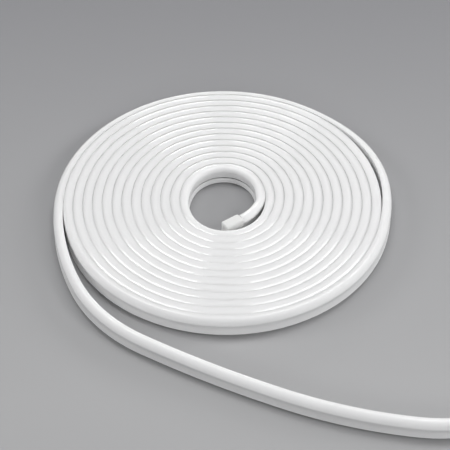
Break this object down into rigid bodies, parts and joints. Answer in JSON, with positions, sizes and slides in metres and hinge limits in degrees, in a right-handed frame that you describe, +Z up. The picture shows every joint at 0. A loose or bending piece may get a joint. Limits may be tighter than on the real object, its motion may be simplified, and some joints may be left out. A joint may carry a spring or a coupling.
{
  "type": "led neon flex",
  "caption": "Domed milky neon flex light strip wound on its edge into a flat spiral coil, with a moulded end cap inside the bore and a loose outer end that bends away along the front.",
  "frame": {"origin": "on the floor, under the middle of the whole lay (coil and loose end together)", "axes": "+Z up, out of the domed light-emitting side; +X along the longest side of the lay, towards the loose outer end; +Y away from the loose end's run along the front"},
  "size_m": [0.2552, 0.245, 0.0101],
  "materials": {
    "milky_silicone": "satin",
    "cap_silicone": "satin"
  },
  "bodies": {
    "root": {"neon_flex": "milky_silicone", "end_cap_inner": "cap_silicone", "end_cap_outer": "cap_silicone"}
  },
  "joints": []
}
